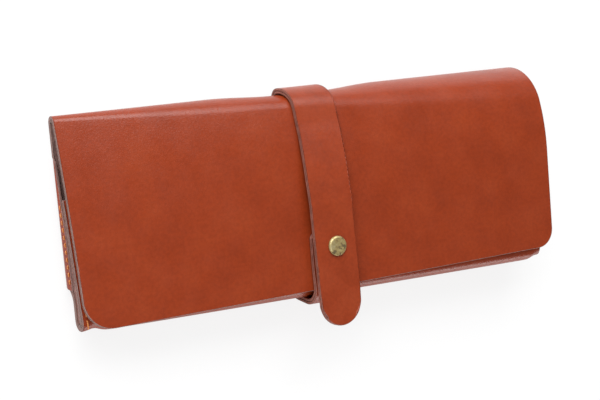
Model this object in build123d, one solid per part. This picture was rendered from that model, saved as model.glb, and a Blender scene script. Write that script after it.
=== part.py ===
from build123d import *
from math import acos, asin, atan2, cos, degrees, hypot, pi, radians, sin
import os

# Soft glasses case for a belt, lying on its back. Millimetres.
# X runs along the case, Y from the flap's lower edge to the top fold, Z out of the front.
# Heights along Y are measured from the flap's lower edge until the last step, which
# moves the finished pieces so that the origin lies under the middle of the case.

# Outer sheet
LENGTH = 168.0          # along the case, raw edge to raw edge
HEIGHT = 61.5           # flap's lower edge to the top of the fold
LEATHER = 1.1           # outer leather
LINING = 0.6            # soft lining glued inside it
GLUE_LINE = 0.05        # glue between two layers
THICK_LEFT = 14.0       # back face to flap face at the flap's lower edge, at the flatter end
THICK_RIGHT = 19.7      # the same at the fuller end
FLAT_LEFT = 20.0        # how far up the flap stays flat, at each end
FLAT_RIGHT = 33.0
BULGE_LEFT = 0.15       # how far it stands out there from a straight line to the fold
BULGE_RIGHT = 1.62
FOLD_DROP = 2.5         # level of the fold's front line below the flap at the fuller end
FOLD_BORE = 0.4         # inner radius of the fold's back bend, and at the flatter end of all of it
FOLD_TURN_LEFT = 80.0   # which way the fold's front line faces, from straight up the case
FOLD_TURN_RIGHT = 69.5
FLAP_CORNER = 8.5       # radius of the flap's two lower corners
FLAP_GAP_LEFT = 1.0     # air between the flap and the pocket front, at each end
FLAP_GAP_RIGHT = 0.4
MOUTH_LEFT = 23.5       # the pocket's mouth below the top of the fold, at each end
MOUTH_RIGHT = 13.5
HEEL_DROP_LEFT = 1.3    # how far the bottom fold hangs below the flap's lower edge
HEEL_DROP_RIGHT = 4.7
HEEL_RADIUS = 4.0       # outer radius of the bottom fold's two bends
FOLD_GAP = 0.3          # between the flap and the fold, where the leather flexes

# Side pieces
GUSSET = 0.8            # leather of the side pieces
GUSSET_FLANGE = 6.0     # width that is sewn to the front and to the back
GUSSET_FOOT = 11.0      # where the slanted lower end meets the back
GUSSET_TOE = 5.0        # where it meets the front

# Belt strap
STRAP_X = -3.3          # centre line of the strap
STRAP_WIDTH = 14.3
STRAP_PLY = 0.85        # each of its two plies
ARCH_GAP = 0.4          # air under the strap where it goes over the top fold
BED_GAP = 0.15          # between the strap and the channel that it lies in
HEEL_GAP = 0.4          # air under the strap where it goes round the bottom
PINCH = 0.9             # how much the strap draws the top fold in
HEEL_PINCH = 0.5        # how much it draws the bottom fold in at the back
CHANNEL_SIDE = 1.2      # channel floor beyond the strap's edge
CHANNEL_SLOPE = 22.0    # width over which the channel runs out
STRAP_TIP = 11.8        # tip below the flap's lower edge
STRAP_TURN = 10.5       # line about which the strap lifts, below the top of the fold
TONGUE_END = 17.9       # free end of the tongue above the flap's lower edge
TONGUE_BEND = 6.0       # outer radius of the tongue's bend onto the flap
TONGUE_CORNER = 2.0     # radius of the tongue's two corners
TONGUE_GAP = 0.35       # air between the tongue and the flap
STUD_Y = 13.1           # press stud above the flap's lower edge

# Press stud
CAP_WIDTH = 6.2
CAP_RISE = 1.1
CAP_RIM = 0.35
CAP_POST = 3.6
SOCKET_WIDTH = 6.4
SOCKET_BORE = 4.1
STUD_FLANGE = 0.4
STUD_WIDTH = 6.0
BALL_WIDTH = 3.2
BALL_RISE = 0.9
POST_WIDTH = 2.0
POST_HEAD = 5.6
POST_HEAD_RISE = 0.3
SNAP_PLAY = 0.3         # between the two halves of the stud
HOLE_PLAY = 0.1         # between a metal piece and its hole, on each side

SHEET = LEATHER + GLUE_LINE + LINING
STRAP = 2 * STRAP_PLY + GLUE_LINE
CHANNEL = STRAP + BED_GAP
STRAP_LIFT = TONGUE_GAP + STRAP + STUD_FLANGE + SNAP_PLAY
HALF = LENGTH / 2
UP, DOWN = degrees(pi / 2), degrees(-pi / 2)
TOP, BOTTOM = 0.0, degrees(pi)


def between(x, left, right):
    """A size that changes evenly from the left end of the case to the right end."""
    share = (x + HALF) / LENGTH
    return left + (right - left) * share


def front_height(x):
    """Height of the flap's flat face over the back."""
    return between(x, THICK_LEFT, THICK_RIGHT)


class Run:
    """A straight stretch of a section, from one Y, Z point to another, with its outward normal."""

    def __init__(self, start, end, facing):
        self.start, self.end, self.facing = start, end, facing

    def at(self, share, offset):
        y = self.start[0] + (self.end[0] - self.start[0]) * share
        z = self.start[1] + (self.end[1] - self.start[1]) * share
        turn = radians(self.facing)
        return y + offset * cos(turn), z + offset * sin(turn)

    def inset(self, depth):
        return Run(self.at(0.0, -depth), self.at(1.0, -depth), self.facing)


class Bend:
    """A round stretch of a section: centre, outer radius, and normals where it starts and ends."""

    def __init__(self, centre, radius, first, last):
        self.centre, self.radius, self.first, self.last = centre, radius, first, last

    def at(self, share, offset):
        turn = radians(self.first + (self.last - self.first) * share)
        reach = self.radius + offset
        return self.centre[0] + reach * cos(turn), self.centre[1] + reach * sin(turn)

    def inset(self, depth):
        return Bend(self.centre, self.radius - depth, self.first, self.last)

    def part(self, first_share, last_share):
        swing = self.last - self.first
        return Bend(self.centre, self.radius, self.first + swing * first_share,
                    self.first + swing * last_share)


def side_marks(x, stretches, offset):
    """Start, middle and end of each stretch at one offset, where one's end starts the next."""
    marks = [(x, *stretches[0].at(0.0, offset))]
    for stretch in stretches:
        marks += [(x, *stretch.at(share, offset)) for share in (0.5, 1.0)]
    return marks


def side_edges(marks, stretches):
    """Lines and arcs through the marks of one side."""
    edges = []
    for i, stretch in enumerate(stretches):
        first, middle, last = marks[2 * i:2 * i + 3]
        straight = isinstance(stretch, Run)
        edges.append(Line(first, last) if straight else ThreePointArc(first, middle, last))
    return edges


def strip(x, stretches, outer, inner):
    """Section of a sheet at X, between two offsets from the outer face."""
    face = side_marks(x, stretches, outer)
    under = side_marks(x, stretches, inner)[::-1]
    edges = side_edges(face, stretches) + [Line(face[-1], under[0])]
    edges += side_edges(under, stretches[::-1]) + [Line(under[-1], face[0])]
    return Face(Wire(edges))


def sheet(path, outer, inner, stations):
    """Solid through the sections of a path at several places along X."""
    return loft([strip(x, path(x), outer, inner) for x in stations], ruled=True)


# Stretches of the case's outer face at X, from the flap's lower edge round to the pocket

def channel(x):
    """Depth of the channel that the strap lies in: full under the strap, then it runs out."""
    aside = abs(x - STRAP_X) - STRAP_WIDTH / 2 - CHANNEL_SIDE
    return min(1.0, max(0.0, 1.0 - aside / CHANNEL_SLOPE))


def shoulder(x):
    """Front line of the top fold: Y and Z."""
    turns = radians(FOLD_TURN_LEFT), radians(FOLD_TURN_RIGHT)
    crest_level = SHEET + FOLD_BORE
    fuller = THICK_RIGHT - FOLD_DROP - crest_level
    radii = crest_level, fuller / sin(turns[1])
    y = between(x, *[HEIGHT - radius * (1 - cos(turn)) for radius, turn in zip(radii, turns)])
    z = between(x, *[crest_level + radius * sin(turn) for radius, turn in zip(radii, turns)])
    return y, z


def flat_end(x):
    """Where the flap starts to bow back: Y and Z."""
    (y_left, z_left), (y_right, z_right) = shoulder(-HALF), shoulder(HALF)
    left = THICK_LEFT - (THICK_LEFT - z_left) * FLAT_LEFT / y_left + BULGE_LEFT
    right = THICK_RIGHT - (THICK_RIGHT - z_right) * FLAT_RIGHT / y_right + BULGE_RIGHT
    return between(x, FLAT_LEFT, FLAT_RIGHT), between(x, left, right)


def facing(x):
    """Which way the flap's flat part faces: it leans back, more so at the flatter end."""
    y, z = flat_end(x)
    return UP - degrees(atan2(front_height(x) - z, y))


def flat_level(x, y, depth):
    """Z of the point at Y that lies at a depth under the flap's flat part."""
    turn = radians(facing(x))
    return front_height(x) - (depth + y * cos(turn)) / sin(turn)


def flat(x, low):
    """Flat part of the front, from a given height up to the bow."""
    return Run((low, flat_level(x, low, 0.0)), flat_end(x), facing(x))


def bow(x):
    """Gentle curve of the flap from its flat part to the shoulder."""
    (y, z), (top, level) = flat_end(x), shoulder(x)
    first = facing(x)
    swing = 2 * (first - UP + degrees(atan2(z - level, top - y)))
    radius = hypot(top - y, z - level) / (2 * sin(radians(swing / 2)))
    turn = radians(first)
    return Bend((y - radius * cos(turn), z - radius * sin(turn)), radius, first, first - swing)


def mouth(x):
    """The bow as far as the pocket's mouth."""
    start, end = flat_end(x)[0], shoulder(x)[0]
    top = HEIGHT - between(x, MOUTH_LEFT, MOUTH_RIGHT)
    return bow(x).part(0.0, (top - start) / (end - start))


def crest(x):
    """Outermost line of the top fold: Y and Z."""
    drawn = channel(x)
    return HEIGHT - PINCH * drawn, SHEET + FOLD_BORE + CHANNEL * drawn


def fold_front(x):
    """Bend from the shoulder to the crest, upright at the crest."""
    (y, z), (top, level) = shoulder(x), crest(x)
    back, rise = top - y, z - level
    radius = (back ** 2 + rise ** 2) / (2 * back)
    centre = top - radius, level
    return Bend(centre, radius, degrees(atan2(rise, y - centre[0])), TOP)


def fold_back(x):
    """Bend from the crest to the flat back."""
    top, level = crest(x)
    radius = level - CHANNEL * channel(x)
    return Bend((top - radius, level), radius, TOP, DOWN)


def heel_back(x):
    """Centre of the bend from the flat back to the underside of the bottom fold."""
    y = HEEL_RADIUS - between(x, HEEL_DROP_LEFT, HEEL_DROP_RIGHT)
    return y + HEEL_PINCH * channel(x), CHANNEL * channel(x) + HEEL_RADIUS


def pocket_depth(x):
    """How far the pocket front lies under the flap's face."""
    return SHEET + between(x, FLAP_GAP_LEFT, FLAP_GAP_RIGHT)


def heel_front(x):
    """Centre of the bend from the underside of the bottom fold to the pocket front."""
    y = HEEL_RADIUS - between(x, HEEL_DROP_LEFT, HEEL_DROP_RIGHT)
    return y, flat_level(x, y, pocket_depth(x) + HEEL_RADIUS)


def round_under(x, low, first_radius, high, last_radius):
    """Round the bottom: a bend about each centre, and the straight stretch that touches both."""
    across, up = high[0] - low[0], high[1] - low[1]
    turn = degrees(atan2(up, across) - acos((last_radius - first_radius) / hypot(across, up)))
    first = Bend(low, first_radius, DOWN, turn - BOTTOM)
    last = Bend(high, last_radius, turn + BOTTOM, facing(x))
    return [first, Run(first.at(1.0, 0.0), last.at(0.0, 0.0), turn + BOTTOM), last]


def back(x):
    top = fold_back(x).centre[0]
    low = heel_back(x)[0]
    level = CHANNEL * channel(x)
    return Run((top, level), (low, level), DOWN)


def heel(x):
    return round_under(x, heel_back(x), HEEL_RADIUS, heel_front(x), HEEL_RADIUS)


def flap_path(x):
    return [flat(x, 0.0), bow(x)]


def fold_path(x):
    """The fold starts a little way round from the flap's edge at the shoulder."""
    front = fold_front(x)
    started = FOLD_GAP / (front.radius * radians(front.first))
    return [front.part(started, 1.0), fold_back(x)]


def back_path(x):
    return [back(x)]


def pocket_path(x):
    depth = pocket_depth(x)
    low = heel(x)[-1].at(1.0, depth)[0]
    return [flat(x, low).inset(depth), mouth(x).inset(depth)]


# Stretches of the strap's outer face at X

def arch_path(x):
    """Over the top fold, from the flap to the back."""
    clear = ARCH_GAP + STRAP
    curve = bow(x)
    turn = degrees(acos((HEIGHT - STRAP_TURN - curve.centre[0]) / curve.radius))
    start = Bend(curve.centre, curve.radius + clear, turn, curve.last)
    front = fold_front(x)
    over = Bend(front.centre, front.radius + clear, front.first, TOP)
    level = crest(x)[1]
    return [start, over, Bend((crest(x)[0] + clear - level, level), level, TOP, DOWN)]


def front_path(x):
    """From the tip up the front to the line about which the strap lifts. This path is the
    strap's inner face laid straight on the flap, and is lifted by an offset."""
    turn = arch_path(x)[0].first
    curve = bow(x)
    return [flat(x, -STRAP_TIP - STRAP_LIFT), Bend(curve.centre, curve.radius, curve.first, turn)]


def strap_back(low, high):
    """The strap flat on the back, between two heights."""
    left, right = STRAP_EDGES
    outline = Polyline(
        (left, tongue_path(left)[0].centre[0]), (right, tongue_path(right)[0].centre[0]),
        (right, arch_path(right)[-1].centre[0]), (left, arch_path(left)[-1].centre[0]), close=True)
    return Pos(0, 0, low) * extrude(make_face(outline), amount=high - low)


def tongue_path(x):
    """Round the bottom fold and onto the flap."""
    low = -between(x, HEEL_DROP_LEFT, HEEL_DROP_RIGHT) - HEEL_GAP - STRAP
    y = low + TONGUE_BEND
    high = y, flat_level(x, y, TONGUE_BEND - TONGUE_FACE)
    return round_under(x, heel_back(x), CHANNEL + HEEL_RADIUS, high, TONGUE_BEND)


def tongue_top_path(x):
    low = tongue_path(x)[-1].at(1.0, -TONGUE_FACE)[0]
    return [Run((low, flat_level(x, low, 0.0)), (TONGUE_END, flat_level(x, TONGUE_END, 0.0)), facing(x))]


ENDS = (-HALF, HALF)
CHANNEL_HALF = STRAP_WIDTH / 2 + CHANNEL_SIDE
ALONG = (-HALF, STRAP_X - CHANNEL_HALF - CHANNEL_SLOPE, STRAP_X - CHANNEL_HALF,
         STRAP_X + CHANNEL_HALF, STRAP_X + CHANNEL_HALF + CHANNEL_SLOPE, HALF)
STRAP_EDGES = (STRAP_X - STRAP_WIDTH / 2, STRAP_X + STRAP_WIDTH / 2)
LINED = -LEATHER - GLUE_LINE
SECOND_PLY = -STRAP_PLY - GLUE_LINE
TONGUE_FACE = TONGUE_GAP + STRAP


def rounded_end(x_low, x_high, y_low, y_high, radius):
    """Upright prism of a plan outline whose two lower corners are round."""
    outline = Polyline((x_low, y_high), (x_low, y_low), (x_high, y_low), (x_high, y_high), close=True)
    plan = make_face(outline)
    corners = plan.vertices().group_by(Axis.Y)[0]
    plan = fillet(corners, radius)
    return extrude(plan, amount=4 * THICK_RIGHT, both=True)


def outer_sheet():
    """The one cut sheet and its lining, in five lengths: flap, fold, back, heel and pocket."""
    plan = rounded_end(-HALF, HALF, 0.0, 2 * HEIGHT, FLAP_CORNER)
    lined = LINED, -SHEET
    pieces = {
        "flap_panel": sheet(flap_path, 0.0, -LEATHER, ENDS) & plan,
        "flap_lining": sheet(flap_path, *lined, ENDS) & plan,
        "top_fold": sheet(fold_path, 0.0, -LEATHER, ALONG),
        "fold_lining": sheet(fold_path, *lined, ALONG),
        "back_panel": sheet(back_path, 0.0, -LEATHER, ALONG),
        "back_lining": sheet(back_path, *lined, ALONG),
        "bottom_fold": sheet(heel, 0.0, -LEATHER, ALONG),
        "bottom_lining": sheet(heel, *lined, ALONG),
        "pocket_front": sheet(pocket_path, 0.0, -LEATHER, ENDS),
        "pocket_lining": sheet(pocket_path, *lined, ENDS),
    }
    return pieces


def gusset(side):
    """Side piece at one end: a wall with a flange sewn to the front and one to the back."""
    inner = -SHEET - GLUE_LINE
    floor = SHEET + GLUE_LINE

    def front_stretches(x):
        depth = pocket_depth(x)
        return [flat(x, GUSSET_TOE).inset(depth), mouth(x).inset(depth)]

    def wall_section(x):
        line, curve = front_stretches(x)
        low, bend, middle, high = (line.at(0.0, inner), line.at(1.0, inner),
                                   curve.at(0.5, inner), curve.at(1.0, inner))
        marks = [(x, y, z) for y, z in (low, bend, middle, high)]
        top, foot = (x, high[0], floor), (x, GUSSET_FOOT, floor)
        edges = [Line(marks[0], marks[1]), ThreePointArc(marks[1], marks[2], marks[3]),
                 Line(marks[3], top), Line(top, foot), Line(foot, marks[0])]
        return Face(Wire(edges))

    outside, inside = side * HALF, side * (HALF - GUSSET)
    edge = side * (HALF - GUSSET_FLANGE)
    wall = loft([wall_section(x) for x in sorted((outside, inside))], ruled=True)
    front = sheet(front_stretches, inner, inner - GUSSET, sorted((inside, edge)))
    top = front_stretches(edge)[-1].at(1.0, inner)[0]
    flange = Box(GUSSET_FLANGE - GUSSET, top - GUSSET_FOOT, GUSSET, align=Align.MIN)
    flange = Pos(min(inside, edge), GUSSET_FOOT, floor) * flange
    return wall + front + flange


def snap_place():
    """Where the press stud's axis leaves the flap's face, square to that face."""
    left, right = [Vector(x, STUD_Y, flat_level(x, STUD_Y, 0.0)) for x in STRAP_EDGES]
    foot = Vector(STRAP_X, 0.0, front_height(STRAP_X))
    place = Vector(STRAP_X, STUD_Y, flat_level(STRAP_X, STUD_Y, 0.0))
    across = right - left
    return Plane(origin=place, x_dir=across, z_dir=across.cross(place - foot))


def plug(width, low, high):
    """Cylinder on the press stud's own axis, before it is put in place."""
    body = Cylinder(width / 2, high - low, align=(Align.CENTER, Align.CENTER, Align.MIN))
    return Pos(0, 0, low) * body


def disc(width, low, high):
    return snap_place() * plug(width, low, high)


def snap_cap(seat, floor):
    """Flat domed head with a rolled rim, on a short post through the strap's outer ply."""
    edge, dome_rise = CAP_WIDTH / 2, CAP_RISE - CAP_RIM
    dome_radius = (edge ** 2 + dome_rise ** 2) / (2 * dome_rise)
    turn = asin(edge / dome_radius) / 2
    waist = dome_radius * sin(turn), CAP_RISE - dome_radius * (1 - cos(turn))
    roll = CAP_RIM * (1 - cos(radians(45)))
    outline = Wire([
        Line((0, 0), (edge - CAP_RIM, 0)),
        ThreePointArc((edge - CAP_RIM, 0), (edge - roll, roll), (edge, CAP_RIM)),
        ThreePointArc((edge, CAP_RIM), waist, (0, CAP_RISE)),
        Line((0, CAP_RISE), (0, 0)),
    ])
    head = revolve(Plane.XZ * Face(outline), Axis.Z)
    return snap_place() * (Pos(0, 0, seat) * head + plug(CAP_POST, floor, seat))


def snap_stud(seat):
    """Flange on the tongue with the round-topped ball that the socket grips."""
    top = seat + STUD_FLANGE + BALL_RISE
    ball = plug(BALL_WIDTH, seat, top)
    ball = fillet(ball.edges().sort_by(Axis.Z)[-1], BALL_RISE * 0.4)
    body = plug(STUD_WIDTH, seat, seat + STUD_FLANGE) + ball
    return snap_place() * (body - plug(POST_WIDTH, seat, seat + STUD_FLANGE))


def strap_and_snap():
    """Two-ply strap round the case and the press stud that closes it."""
    inner = STRAP_LIFT
    middle = inner + STRAP_PLY
    outer = inner + STRAP
    low_arch = ARCH_GAP
    tip = rounded_end(*STRAP_EDGES, -STRAP_TIP, 2 * HEIGHT, STRAP_WIDTH / 2 - HOLE_PLAY)
    turned = Location((0, TONGUE_END, 0), (0, 0, 180)) * rounded_end(
        -STRAP_EDGES[1], -STRAP_EDGES[0], 0.0, 2 * HEIGHT, TONGUE_CORNER)

    def front(low, high):
        """The front hangs high over the tongue and comes down to the arch's gap."""
        rise = STRAP_LIFT - low_arch

        def section(x):
            line, curve = front_path(x)
            first, last = [], []
            for share, drop in ((0.0, 0.0), (0.5, rise / 2), (1.0, rise)):
                first.append((x, *curve.at(share, high - drop)))
                last.append((x, *curve.at(share, low - drop)))
            base, lid = (x, *line.at(0.0, low)), (x, *line.at(0.0, high))
            edges = [Line(lid, first[0]), ThreePointArc(*first), Line(first[-1], last[-1]),
                     ThreePointArc(*last[::-1]), Line(last[0], base), Line(base, lid)]
            return Face(Wire(edges))

        return loft([section(x) for x in STRAP_EDGES], ruled=True) & tip

    face, plies = TONGUE_FACE, (0.0, -STRAP_PLY, SECOND_PLY, -STRAP)
    tongue = [sheet(tongue_top_path, face + plies[i], face + plies[i + 1], STRAP_EDGES) & turned
              for i in (0, 2)]
    post_hole = disc(POST_WIDTH + 2 * HOLE_PLAY, 0.0, face)
    recess = disc(POST_HEAD + 2 * HOLE_PLAY, 0.0, TONGUE_GAP + POST_HEAD_RISE)
    cap_hole = disc(CAP_POST + 2 * HOLE_PLAY, inner, outer)
    socket_hole = disc(SOCKET_WIDTH + 2 * HOLE_PLAY, 0.0, middle)
    pieces = {
        "strap_front": front(middle + GLUE_LINE, outer) - cap_hole,
        "strap_lining": front(inner, middle) - socket_hole,
        "strap_arch": sheet(arch_path, 0.0, -STRAP_PLY, STRAP_EDGES),
        "arch_lining": sheet(arch_path, SECOND_PLY, -STRAP, STRAP_EDGES),
        "strap_back": strap_back(0.0, STRAP_PLY),
        "strap_back_lining": strap_back(-SECOND_PLY, STRAP),
        "tongue_bend": sheet(tongue_path, 0.0, -STRAP_PLY, STRAP_EDGES),
        "bend_lining": sheet(tongue_path, SECOND_PLY, -STRAP, STRAP_EDGES),
        "tongue_front": tongue[0] - post_hole,
        "tongue_lining": tongue[1] - post_hole - recess,
        "snap_cap": snap_cap(outer, middle),
        "snap_socket": disc(SOCKET_WIDTH, inner, middle) - disc(SOCKET_BORE, inner, middle),
        "snap_stud": snap_stud(face),
        "snap_post": (disc(POST_HEAD, TONGUE_GAP, TONGUE_GAP + POST_HEAD_RISE)
                      + disc(POST_WIDTH, TONGUE_GAP, face + STUD_FLANGE)),
    }
    return pieces


def flap_hinge():
    """Two points of the line about which the flap opens: the fold flexes along its crest."""
    return [(x, *crest(x)) for x in ENDS]


def strap_hinge():
    """Two points of the line about which the strap lifts, half way through its plies."""
    return [(x, *arch_path(x)[0].at(0.0, -STRAP / 2)) for x in STRAP_EDGES]


def tongue_hinge():
    """Two points of the line about which the tongue swings out: the loop round the bottom
    flexes where its upright part meets the front bend."""
    return [(x, *tongue_path(x)[-1].at(0.0, -STRAP / 2)) for x in STRAP_EDGES]


pieces = outer_sheet()
pieces["gusset_left"] = gusset(-1)
pieces["gusset_right"] = gusset(1)
pieces.update(strap_and_snap())

crest_line = HEIGHT - PINCH + ARCH_GAP + STRAP
middle_y = (crest_line - STRAP_TIP) / 2
os.makedirs("parts", exist_ok=True)
for name, shape in pieces.items():
    export_step(Pos(0, -middle_y, 0) * shape, f"parts/{name}.step")

print("moved down by", round(middle_y, 4))
for name, line in (("flap", flap_hinge()), ("strap", strap_hinge()), ("tongue", tongue_hinge())):
    print(name, "hinge", [tuple(round(v, 4) for v in (x, y - middle_y, z)) for x, y, z in line])
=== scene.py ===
import math

import bpy
import numpy as np
from mathutils import Matrix, Vector


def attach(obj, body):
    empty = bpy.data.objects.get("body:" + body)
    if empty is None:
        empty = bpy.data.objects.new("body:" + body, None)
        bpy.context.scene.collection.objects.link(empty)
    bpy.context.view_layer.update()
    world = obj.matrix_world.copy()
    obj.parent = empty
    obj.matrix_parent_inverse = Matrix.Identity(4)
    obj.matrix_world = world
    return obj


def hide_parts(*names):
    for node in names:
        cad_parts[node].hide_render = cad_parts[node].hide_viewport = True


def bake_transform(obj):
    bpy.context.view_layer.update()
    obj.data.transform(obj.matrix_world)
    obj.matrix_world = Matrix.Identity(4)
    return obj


# Soft leather glasses case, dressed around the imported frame. The shapes below are worked
# out in millimetres, with Y from the flap's lower edge, and turned into the frame's metres
# when a mesh is made.

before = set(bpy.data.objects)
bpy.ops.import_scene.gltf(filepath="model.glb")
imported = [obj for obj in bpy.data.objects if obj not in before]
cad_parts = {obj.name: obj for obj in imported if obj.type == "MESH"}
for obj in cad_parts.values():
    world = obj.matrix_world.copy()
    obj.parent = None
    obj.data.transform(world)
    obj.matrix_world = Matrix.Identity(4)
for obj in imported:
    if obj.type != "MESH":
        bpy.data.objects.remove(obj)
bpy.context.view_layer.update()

MM = 0.001
MIDDLE_Y = 25.475       # the frame's origin over the flap's lower edge

# Outer sheet, as the solids have it
HALF = 84.0
HEIGHT = 61.5
LEATHER, GLUE_LINE, LINING = 1.1, 0.05, 0.6
SHEET = LEATHER + GLUE_LINE + LINING
THICK_LEFT, THICK_RIGHT = 14.0, 19.7
FLAT_LEFT, FLAT_RIGHT = 20.0, 33.0
BULGE_LEFT, BULGE_RIGHT = 0.15, 1.62
FOLD_DROP, FOLD_BORE = 2.5, 0.4
FOLD_TURN_LEFT, FOLD_TURN_RIGHT = 80.0, 69.5
FLAP_CORNER_LEFT, FLAP_CORNER_RIGHT = 8.5, 6.0
FLAP_GAP_LEFT, FLAP_GAP_RIGHT = 0.75, 0.4
MOUTH_LEFT, MOUTH_RIGHT = 23.5, 13.5
HEEL_DROP_LEFT, HEEL_DROP_RIGHT = 1.1, 4.6
HEEL_RADIUS = 4.0

# Strap
STRAP_X, STRAP_WIDTH = -3.3, 14.3
STRAP_PLY = 0.85
STRAP = 2 * STRAP_PLY + GLUE_LINE
ARCH_GAP, BED_GAP, HEEL_GAP = 0.4, 0.15, 0.4
PINCH, HEEL_PINCH = 0.9, 0.5
CHANNEL = STRAP + BED_GAP
CHANNEL_SIDE, CHANNEL_SLOPE = 1.2, 22.0
STRAP_TIP, STRAP_TURN = 11.35, 10.5
TONGUE_END, TONGUE_BEND, TONGUE_CORNER, TONGUE_GAP = 17.9, 6.0, 2.0, 0.35
TONGUE_FACE = TONGUE_GAP + STRAP
STRAP_LIFT = TONGUE_FACE + 0.4 + 0.3
STUD_Y = 13.1

# Ends of the case: below the side pieces the back comes forward and is sewn to the front
CLOSING_LEFT, CLOSING_RIGHT = 9.0, 9.0     # width over which it comes forward
LIFT_LEFT, LIFT_RIGHT = 4.6, 6.5            # how far forward, at the end
TUCK_LEFT, TUCK_RIGHT = 0.7, 1.3            # how much higher the bottom fold is there
BEND_LEFT, BEND_RIGHT = 2.8, 3.6            # radius of the bottom fold there
PULL_RIGHT = 4.6                            # how far the fuller end's lower corner is drawn in
PINCHED_X, PINCHED_WIDTH = -80.0, 2.2       # where the flatter end's corner is pinched up
PINCHED_UP = 0.75                           # and how far
LIFT_LOW, LIFT_HIGH = 8.0, 15.0             # heights over which the back comes forward
RECESS = 1.1            # how far the back's raw edge is drawn in under the wing
RECESS_WIDTH = 4.0      # width over which it is drawn in

# Side pieces
GUSSET = 0.8
FLANGE = 6.0
FLANGE_LOW, FLANGE_TOP_LEFT, FLANGE_TOP_RIGHT = 17.0, 36.0, 47.0
WING_LOW_LEFT, WING_LOW_RIGHT, WING_SLANT = 12.3, 1.2, 1.4
WING_TOP_LEFT, WING_TOP_RIGHT = 50.0, 54.0
WING_BULGE_LEFT, WING_BULGE_RIGHT = 1.0, 2.0
WING_REAR_IN, WING_FRONT_OUT = 0.35, 0.15   # its back line lies inside the end, its front line outside
HAIR = 0.02             # a gap too small to see

EDGE_ROUND = 0.16       # rounding of a cut edge
STRAP_ROUND = 0.26      # the same on the strap, which is finished more
LINING_ROUND, LAYER_ROUND = 0.1, 0.06


def between(x, left, right):
    return left + (right - left) * (x + HALF) / (2 * HALF)


def by_side(side, left, right):
    return left if side < 0 else right


def smooth(value, low, high):
    share = np.clip((value - low) / (high - low), 0.0, 1.0)
    return share * share * (3 - 2 * share)


def front_height(x):
    return between(x, THICK_LEFT, THICK_RIGHT)


def channel(x):
    """How deep the back is drawn in for the strap, from 0 to 1."""
    aside = abs(x - STRAP_X) - STRAP_WIDTH / 2 - CHANNEL_SIDE
    return float(1.0 - smooth(aside, 0.0, CHANNEL_SLOPE))


def closing(x):
    """How far the end is closed under the side piece, from 0 to 1."""
    width = by_side(x, CLOSING_LEFT, CLOSING_RIGHT)
    return float(1.0 - smooth(HALF - abs(x), 0.0, width))


# A path is an array of points (y, z), made of runs and arcs

def run(start, end, steps):
    start, end = np.array(start), np.array(end)
    return start + (end - start) * np.linspace(0, 1, steps + 1)[:, None]


def arc(centre, radius, first, last, steps):
    turns = np.radians(np.linspace(first, last, steps + 1))
    return np.array(centre) + radius * np.stack([np.cos(turns), np.sin(turns)], 1)


def chain(*stretches):
    return np.concatenate([stretches[0]] + [stretch[1:] for stretch in stretches[1:]])


def shoulder(x):
    """Front line of the top fold."""
    turns = math.radians(FOLD_TURN_LEFT), math.radians(FOLD_TURN_RIGHT)
    crest_level = SHEET + FOLD_BORE
    radii = crest_level, (THICK_RIGHT - FOLD_DROP - crest_level) / math.sin(turns[1])
    heights = [HEIGHT - radius * (1 - math.cos(turn)) for radius, turn in zip(radii, turns)]
    levels = [crest_level + radius * math.sin(turn) for radius, turn in zip(radii, turns)]
    return between(x, *heights), between(x, *levels)


def flat_end(x):
    """Where the flap starts to bow back."""
    (y_left, z_left), (y_right, z_right) = shoulder(-HALF), shoulder(HALF)
    left = THICK_LEFT - (THICK_LEFT - z_left) * FLAT_LEFT / y_left + BULGE_LEFT
    right = THICK_RIGHT - (THICK_RIGHT - z_right) * FLAT_RIGHT / y_right + BULGE_RIGHT
    return between(x, FLAT_LEFT, FLAT_RIGHT), between(x, left, right)


def facing(x):
    """Which way the flap's flat part faces, in degrees from +Y towards +Z."""
    y, z = flat_end(x)
    return 90 - math.degrees(math.atan2(front_height(x) - z, y))


def flat_level(x, y, depth):
    """Z of the point at Y that lies at a depth under the flap's flat part."""
    turn = math.radians(facing(x))
    return front_height(x) - (depth + y * math.cos(turn)) / math.sin(turn)


def inset(x, point, depth):
    turn = math.radians(facing(x))
    return point[0] - depth * math.cos(turn), point[1] - depth * math.sin(turn)


def bow(x):
    """Centre, radius, first and last normal of the flap's gentle curve."""
    (y, z), (top, level) = flat_end(x), shoulder(x)
    first = facing(x)
    swing = 2 * (first - 90 + math.degrees(math.atan2(z - level, top - y)))
    radius = math.hypot(top - y, z - level) / (2 * math.sin(math.radians(swing / 2)))
    turn = math.radians(first)
    return (y - radius * math.cos(turn), z - radius * math.sin(turn)), radius, first, first - swing


def face_level(x, y, depth):
    """Z of the flap's face at Y, or of what lies at a depth under it."""
    if y <= flat_end(x)[0]:
        return flat_level(x, y, depth)
    centre, radius = bow(x)[:2]
    return centre[1] + math.sqrt(max(0.0, (radius - depth) ** 2 - (y - centre[0]) ** 2))


def crest(x):
    drawn = channel(x)
    return HEIGHT - PINCH * drawn, SHEET + FOLD_BORE + CHANNEL * drawn


def fold_front(x):
    (y, z), (top, level) = shoulder(x), crest(x)
    back, rise = top - y, z - level
    radius = (back ** 2 + rise ** 2) / (2 * back)
    centre = top - radius, level
    return centre, radius, math.degrees(math.atan2(rise, y - centre[0]))


def upper_path(x, low):
    """Flap and fold of the outer sheet, as far as the flat back."""
    curve, radius, first, last = bow(x)
    fold, fold_radius, fold_turn = fold_front(x)
    top, level = crest(x)
    floor = CHANNEL * channel(x)
    back_radius = level - floor
    start = low, flat_level(x, low, 0.0)
    ease = low + 0.5, flat_level(x, low + 0.5, 0.0)
    return chain(run(start, ease, 1), run(ease, flat_end(x), 16),
                 arc(curve, radius, first, last, 18),
                 arc(fold, fold_radius, fold_turn, 0, 18),
                 arc((top - back_radius, level), back_radius, 0, -90, 12))


def pocket_depth(x):
    return SHEET + between(x, FLAP_GAP_LEFT, FLAP_GAP_RIGHT)


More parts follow.
